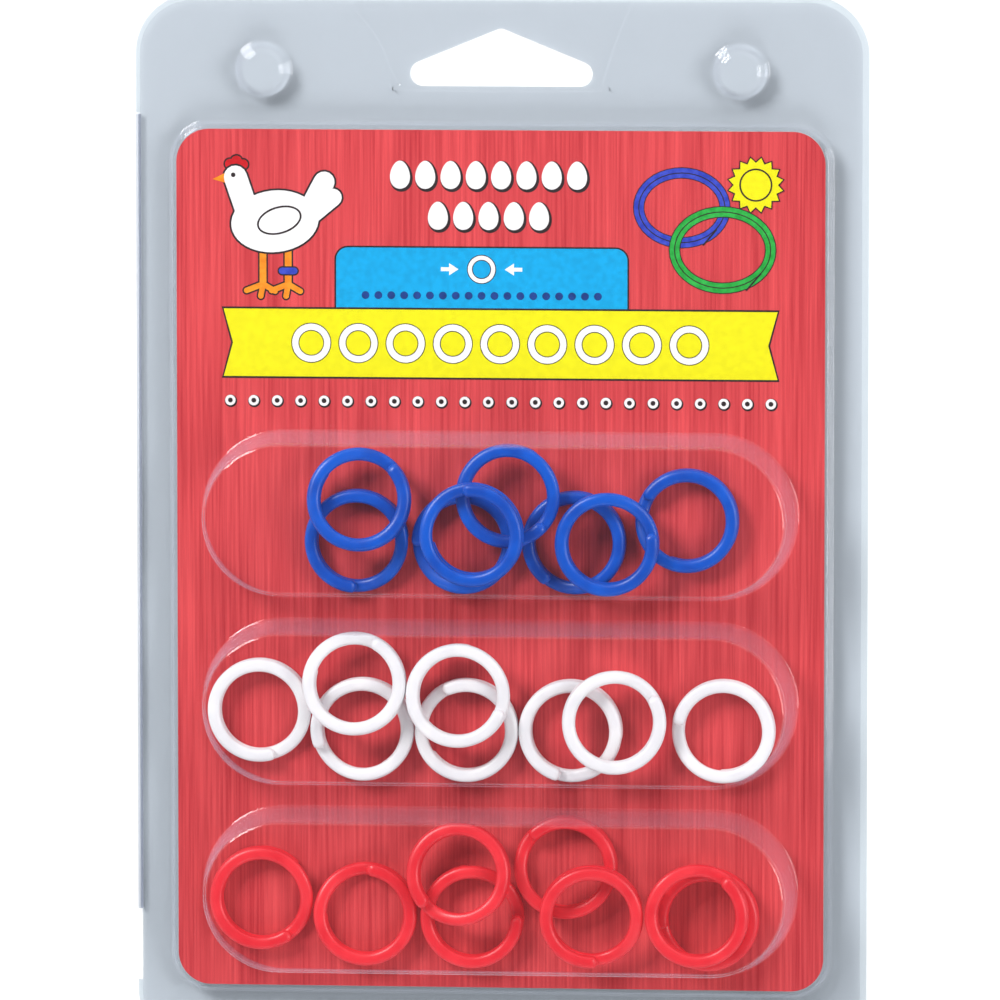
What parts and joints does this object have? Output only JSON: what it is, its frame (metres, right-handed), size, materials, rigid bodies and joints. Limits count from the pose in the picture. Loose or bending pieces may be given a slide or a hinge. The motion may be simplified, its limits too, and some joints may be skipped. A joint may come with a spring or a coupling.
{
  "type": "spiral leg band pack",
  "caption": "Clear hinged clamshell pack with a printed card and loose spiral leg bands lying in three long raised pockets.",
  "frame": {"origin": "middle of the footprint on the rear face of the pack, which lies on its back", "axes": "+X to the pack's right, +Y up the pack towards the hang hole, +Z out of its front"},
  "size_m": [0.1334, 0.1934, 0.0169],
  "materials": {
    "clear_sheet": "clear thermoformed polyester sheet, glossy",
    "printed_card": "coated board printed red with fine streaks, pictograms and no lettering",
    "band_blue": "smooth extruded plastic strand",
    "band_white": "smooth extruded plastic strand",
    "band_red": "smooth extruded plastic strand"
  },
  "bodies": {
    "back_half": {"back_shell": "clear_sheet", "insert_card": "printed_card", "living_hinge": "clear_sheet"},
    "front_half": {"front_shell": "clear_sheet"},
    "band_blue_1": {"band_blue_1": "band_blue"},
    "band_blue_2": {"band_blue_2": "band_blue"},
    "band_blue_3": {"band_blue_3": "band_blue"},
    "band_blue_4": {"band_blue_4": "band_blue"},
    "band_blue_5": {"band_blue_5": "band_blue"},
    "band_blue_6": {"band_blue_6": "band_blue"},
    "band_blue_7": {"band_blue_7": "band_blue"},
    "band_blue_8": {"band_blue_8": "band_blue"},
    "band_white_1": {"band_white_1": "band_white"},
    "band_white_2": {"band_white_2": "band_white"},
    "band_white_3": {"band_white_3": "band_white"},
    "band_white_4": {"band_white_4": "band_white"},
    "band_white_5": {"band_white_5": "band_white"},
    "band_white_6": {"band_white_6": "band_white"},
    "band_white_7": {"band_white_7": "band_white"},
    "band_white_8": {"band_white_8": "band_white"},
    "band_red_1": {"band_red_1": "band_red"},
    "band_red_2": {"band_red_2": "band_red"},
    "band_red_3": {"band_red_3": "band_red"},
    "band_red_4": {"band_red_4": "band_red"},
    "band_red_5": {"band_red_5": "band_red"},
    "band_red_6": {"band_red_6": "band_red"},
    "band_red_7": {"band_red_7": "band_red"},
    "band_red_8": {"band_red_8": "band_red"}
  },
  "joints": [
    {"name": "lid_hinge", "type": "hinge", "parent": "back_half", "child": "front_half", "pos_m": [-0.06639, 0.002, 0.00055], "axis": [0, -1, 0], "range_deg": [0, 180]},
    {"name": "band_blue_1_turn", "type": "hinge", "parent": "back_half", "child": "band_blue_1", "pos_m": [-0.0259, -0.0024, 0.00535], "axis": [0, 0, 1], "continuous": true},
    {"name": "band_blue_2_turn", "type": "hinge", "parent": "back_half", "child": "band_blue_2", "pos_m": [-0.02509, 0.00551, 0.00915], "axis": [0.0124, 0.1181, 0.9929], "continuous": true},
    {"name": "band_blue_3_turn", "type": "hinge", "parent": "back_half", "child": "band_blue_3", "pos_m": [-0.00639, -0.0024, 0.00535], "axis": [0, 0, 1], "continuous": true},
    {"name": "band_blue_4_turn", "type": "hinge", "parent": "back_half", "child": "band_blue_4", "pos_m": [0.002, 0.0064, 0.00935], "axis": [0, 0.0594, 0.9982], "continuous": true},
    {"name": "band_blue_5_turn", "type": "hinge", "parent": "back_half", "child": "band_blue_5", "pos_m": [-0.00421, -0.00029, 0.01335], "axis": [-0.0675, -0.0724, 0.9951], "continuous": true},
    {"name": "band_blue_6_turn", "type": "hinge", "parent": "back_half", "child": "band_blue_6", "pos_m": [0.01371, -0.0024, 0.00535], "axis": [0, 0, 1], "continuous": true},
    {"name": "band_blue_7_turn", "type": "hinge", "parent": "back_half", "child": "band_blue_7", "pos_m": [0.02001, -0.0022, 0.00935], "axis": [-0.0099, -0.0171, 0.9998], "continuous": true},
    {"name": "band_blue_8_turn", "type": "hinge", "parent": "back_half", "child": "band_blue_8", "pos_m": [0.0342, 0.0018, 0.00535], "axis": [0, 0, 1], "continuous": true},
    {"name": "band_white_1_turn", "type": "hinge", "parent": "back_half", "child": "band_white_1", "pos_m": [-0.0437, -0.03345, 0.00535], "axis": [0, 0, 1], "continuous": true},
    {"name": "band_white_2_turn", "type": "hinge", "parent": "back_half", "child": "band_white_2", "pos_m": [-0.02599, -0.02804, 0.00911], "axis": [-0.0124, 0.1181, 0.9929], "continuous": true},
    {"name": "band_white_3_turn", "type": "hinge", "parent": "back_half", "child": "band_white_3", "pos_m": [-0.02491, -0.03676, 0.00535], "axis": [0, 0, 1], "continuous": true},
    {"name": "band_white_4_turn", "type": "hinge", "parent": "back_half", "child": "band_white_4", "pos_m": [-0.00711, -0.03004, 0.00927], "axis": [-0.0137, 0.0779, 0.9969], "continuous": true},
    {"name": "band_white_5_turn", "type": "hinge", "parent": "back_half", "child": "band_white_5", "pos_m": [-0.00589, -0.03676, 0.00535], "axis": [0, 0, 1], "continuous": true},
    {"name": "band_white_6_turn", "type": "hinge", "parent": "back_half", "child": "band_white_6", "pos_m": [0.01311, -0.03676, 0.00535], "axis": [0, 0, 1], "continuous": true},
    {"name": "band_white_7_turn", "type": "hinge", "parent": "back_half", "child": "band_white_7", "pos_m": [0.0213, -0.03464, 0.00915], "axis": [0.096, 0.0239, 0.9951], "continuous": true},
    {"name": "band_white_8_turn", "type": "hinge", "parent": "back_half", "child": "band_white_8", "pos_m": [0.0409, -0.03646, 0.00535], "axis": [0, 0, 1], "continuous": true},
    {"name": "band_red_1_turn", "type": "hinge", "parent": "back_half", "child": "band_red_1", "pos_m": [-0.0434, -0.06791, 0.00535], "axis": [0, 0, 1], "continuous": true},
    {"name": "band_red_2_turn", "type": "hinge", "parent": "back_half", "child": "band_red_2", "pos_m": [-0.0244, -0.07066, 0.00535], "axis": [0, 0, 1], "continuous": true},
    {"name": "band_red_3_turn", "type": "hinge", "parent": "back_half", "child": "band_red_3", "pos_m": [-0.00699, -0.06269, 0.00911], "axis": [-0.0307, 0.1147, 0.9929], "continuous": true},
    {"name": "band_red_4_turn", "type": "hinge", "parent": "back_half", "child": "band_red_4", "pos_m": [-0.00484, -0.0709, 0.00535], "axis": [0, 0, 1], "continuous": true},
    {"name": "band_red_5_turn", "type": "hinge", "parent": "back_half", "child": "band_red_5", "pos_m": [0.01219, -0.06165, 0.00535], "axis": [0, 0, 1], "continuous": true},
    {"name": "band_red_6_turn", "type": "hinge", "parent": "back_half", "child": "band_red_6", "pos_m": [0.0172, -0.07021, 0.00911], "axis": [0.0594, -0.1028, 0.9929], "continuous": true},
    {"name": "band_red_7_turn", "type": "hinge", "parent": "back_half", "child": "band_red_7", "pos_m": [0.03641, -0.0698, 0.00935], "axis": [-0.0059, 0.0103, 0.9999], "continuous": true},
    {"name": "band_red_8_turn", "type": "hinge", "parent": "back_half", "child": "band_red_8", "pos_m": [0.038, -0.0709, 0.00535], "axis": [0, 0, 1], "continuous": true}
  ]
}
